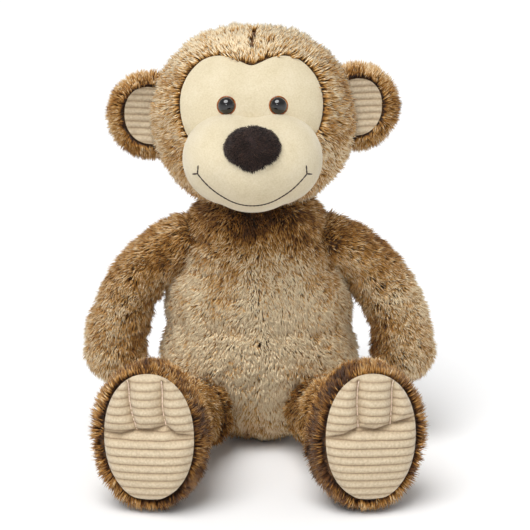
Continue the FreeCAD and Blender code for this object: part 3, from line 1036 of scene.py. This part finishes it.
for side_name, side in SIDES.items():
    foot = Vector((side * FOOT.x, FOOT.y, FOOT.z))
    turn = Matrix.Rotation(side * SPLAY, 4, "Z")
    place = Matrix.Translation(foot * MM) @ turn
    inverse = np.array(turn.to_3x3())

    def standing(spot, place=place):
        return place @ at(*spot)

    hip_reach = math.hypot(FOOT.x - HIP.x, HIP.y - FOOT.y)
    leg_skin = stuffed("leg_skin_" + side_name, [
        (standing((0, 1, -0.5)), (33.5, 24, 44), turn.to_3x3()),
        (standing((0, -9, -0.5)), (32, 15, 42.5), turn.to_3x3()),
        (standing((0, 30, -5)), (24, 32, 25), turn.to_3x3()),
        (standing((0, 62, -10)), (22, 32, 22), turn.to_3x3()),
        (standing((0, hip_reach, -15)), (22, 22, 22), LEVEL),
    ], ground, rounds=6)
    sole_middle = SOLE_MIDDLE[side_name]
    for vert in leg_skin.data.vertices:
        spot = (place.inverted() @ vert.co) / MM
        reach = from_sole(spot.x - sole_middle[0], spot.z - sole_middle[1])
        if spot.y < SOLE_BED - SOLE_DEPTH and reach < 1.25:
            spot.y = SOLE_BED - SOLE_DEPTH
            vert.co = place @ at(*spot)
        vert.co.z = max(vert.co.z, FLOOR_CLEARANCE * MM)

    def lay_sole(x, z, share, side_name=side_name, middle=sole_middle, side=side):
        rib = ribbed(z, SOLE_PITCH)
        z = z - side * TILT * x
        pulled = toe_groove(x, z, side_name)
        lift = 1.0 * rib * (1 - share ** 8) * (1 - 0.7 * pulled)
        front = sole_front(x, z, side_name) - lift + 3.5 * share ** 12
        # Near the toe lines the rib value falls, so the grooves take the valleys' painted shade.
        return at(middle[0] + x, front, middle[1] + z), rib * (1 - 0.9 * pulled ** 4)

    sole = ribbed_patch("sole_" + side_name, SOLE_RADII, SOLE_PITCH, lay_sole)

    def this_sole(x, z, side_name=side_name):
        return sole_front(x, z, side_name)

    stitches = sew("toe_stitches_" + side_name, TOE_STITCHES[side_name], this_sole, cream_thread,
                   radius=0.4, lift=0.5)
    stitches.data.transform(Matrix.Translation(at(sole_middle[0], 0, sole_middle[1])))
    for piece in (sole, stitches):
        piece.data.transform(place)

    def leg_comb(points, facing, foot=foot, inverse=inverse):
        local = (points - np.array(foot)) @ inverse
        away = local.copy()
        away[:, 1] = 0
        away = unit(away) + np.array([0, 0.1, 0])
        thigh = local[:, 1] > 26
        away[thigh] = np.array([0, -0.6, -0.6])
        return away @ inverse.T

    def leg_keep(points, facing, foot=foot, inverse=inverse, middle=sole_middle):
        local = (points - np.array(foot)) @ inverse
        reach = from_sole(local[:, 0] - middle[0], local[:, 2] - middle[1])
        return (local[:, 1] > -SOLE_DEPTH + 8) | (reach > 0.95)

    # Darker all over and more so round the sole, and painted shade on the inner side, which faces the
    # other leg.
    def leg_tone_and_shade(points, facing, foot=foot, inverse=inverse):
        local = (points - np.array(foot)) @ inverse
        return -0.3 - 1.0 * (local[:, 1] < 6) - 0.9 * (facing[:, 0] * np.sign(points[:, 0]) < -0.2)

    coat = fur_coat("leg_fur_" + side_name, leg_skin, LEG_HAIRS, leg_comb, 50 + side, fur,
                    stand=0.85, lay=0.5, keep=leg_keep, painted_light_and_tone=leg_tone_and_shade)
    body = "leg_" + side_name
    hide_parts(body + "_outer_panel", body + "_inner_panel", body + "_stuffing")
    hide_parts(body + "_sole")
    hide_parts(body + "_toe_stitches")
    for piece, slot in ((leg_skin, "fur"), (coat, "fur"), (sole, "corduroy"), (stitches, "cream_thread")):
        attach(piece, body)
    print(sole.name, len(sole.data.polygons), "faces")

# %% [markdown]
# ## Gathering threads
# A thick thread draws each opening shut before the limb is sewn on. It lies inside the
# seam, so each is a plain ring, spun from a small circle, within the fur.

# %% Gathering threads
THREAD_RADIUS = 1.2


def gather(name, body, node, middle, direction, radius):
    shape = bmesh.new()
    turn = Vector(direction).to_track_quat("Z", "Y").to_matrix().to_4x4()
    spun_ring(shape, radius, THREAD_RADIUS, 36)
    bmesh.ops.transform(shape, matrix=Matrix.Translation(at(*middle)) @ turn, verts=shape.verts)
    piece = piece_of(name, shape, brown_thread)
    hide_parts(node)
    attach(piece, body)
    print(name, len(piece.data.polygons), "faces")


for side_name, side in SIDES.items():
    gather("arm_gather_" + side_name, "shoulder_" + side_name, "arm_%s_gather_thread" % side_name,
           (side * 48, 0, 147), (side, 0, -0.6), 11)
    gather("leg_gather_" + side_name, "hip_" + side_name, "leg_%s_gather_thread" % side_name,
           (side * 43, -44, 33), (side * 0.25, -1, 0), 17)
gather("neck_gather", "neck", "neck_gather_thread", (-1, 0, 168), (0, 0, 1), 19)

# %% [markdown]
# ## Parts that keep their CAD shape
# The lock washers of the eyes are right as the CAD has them, so they only get a finish.

# %% Finishes for the CAD parts
def dress(node, material):
    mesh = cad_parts[node].data
    mesh.materials.clear()
    mesh.materials.append(material)


for side_name in SIDES:
    dress("eye_%s_lock_washer" % side_name, washer_white)

# %% [markdown]
# ## Floor and lights
# A toy on a studio table stands on white card under one big soft lamp. A wide sun does
# the same here: it comes from the upper left, gives the fur its form and leaves no hard
# shadow. A small lamp in front puts the catch light in the eyes.

# %% Floor and lights
floor_shape = bmesh.new()
bmesh.ops.create_grid(floor_shape, x_segments=1, y_segments=1, size=12)
floor_finish = Finish("pale_floor", 0.9)
floor_finish.shader.inputs["Base Color"].default_value = (0.97, 0.97, 0.97, 1)
floor = piece_of("floor", floor_shape, floor_finish.material, smooth=False)


def aimed(name, kind, place, energy, **settings):
    """A light that looks at the toy."""
    light = bpy.data.lights.new(name, kind)
    light.energy = energy
    for setting, value in settings.items():
        setattr(light, setting, value)
    lamp = bpy.data.objects.new(name, light)
    lamp.location = place
    lamp.rotation_euler = (AIM - Vector(place)).to_track_quat("-Z", "Y").to_euler()
    bpy.context.scene.collection.objects.link(lamp)


aimed("overhead", "SUN", (-0.5, -1.2, 2.4), 2.5, angle=math.radians(40))
aimed("catch", "AREA", (-0.2, -1.2, 0.75), 0.8, size=0.12)
print("lights", [lamp.name for lamp in bpy.data.lights])

# %% [markdown]
# ## Sky
# The sky is white round the horizon, like a studio's cove, and dimmer overhead, so that
# the light from above keeps its direction.

# %% Sky
world = bpy.data.worlds.new("studio")
world.use_nodes = True
sky = world.node_tree
direction = sky.nodes.new("ShaderNodeTexCoord")
split = sky.nodes.new("ShaderNodeSeparateXYZ")
sky.links.new(direction.outputs["Generated"], split.inputs["Vector"])
height = sky.nodes.new("ShaderNodeMapRange")
for socket, value in (("From Min", 0.1), ("From Max", 0.45), ("To Min", 1.0), ("To Max", 0.4)):
    height.inputs[socket].default_value = value
sky.links.new(split.outputs["Z"], height.inputs["Value"])
sky.links.new(height.outputs["Result"], sky.nodes["Background"].inputs["Strength"])
sky.nodes["Background"].inputs["Color"].default_value = (1, 1, 1, 1)
bpy.context.scene.world = world
print("sky", len(sky.nodes), "nodes")
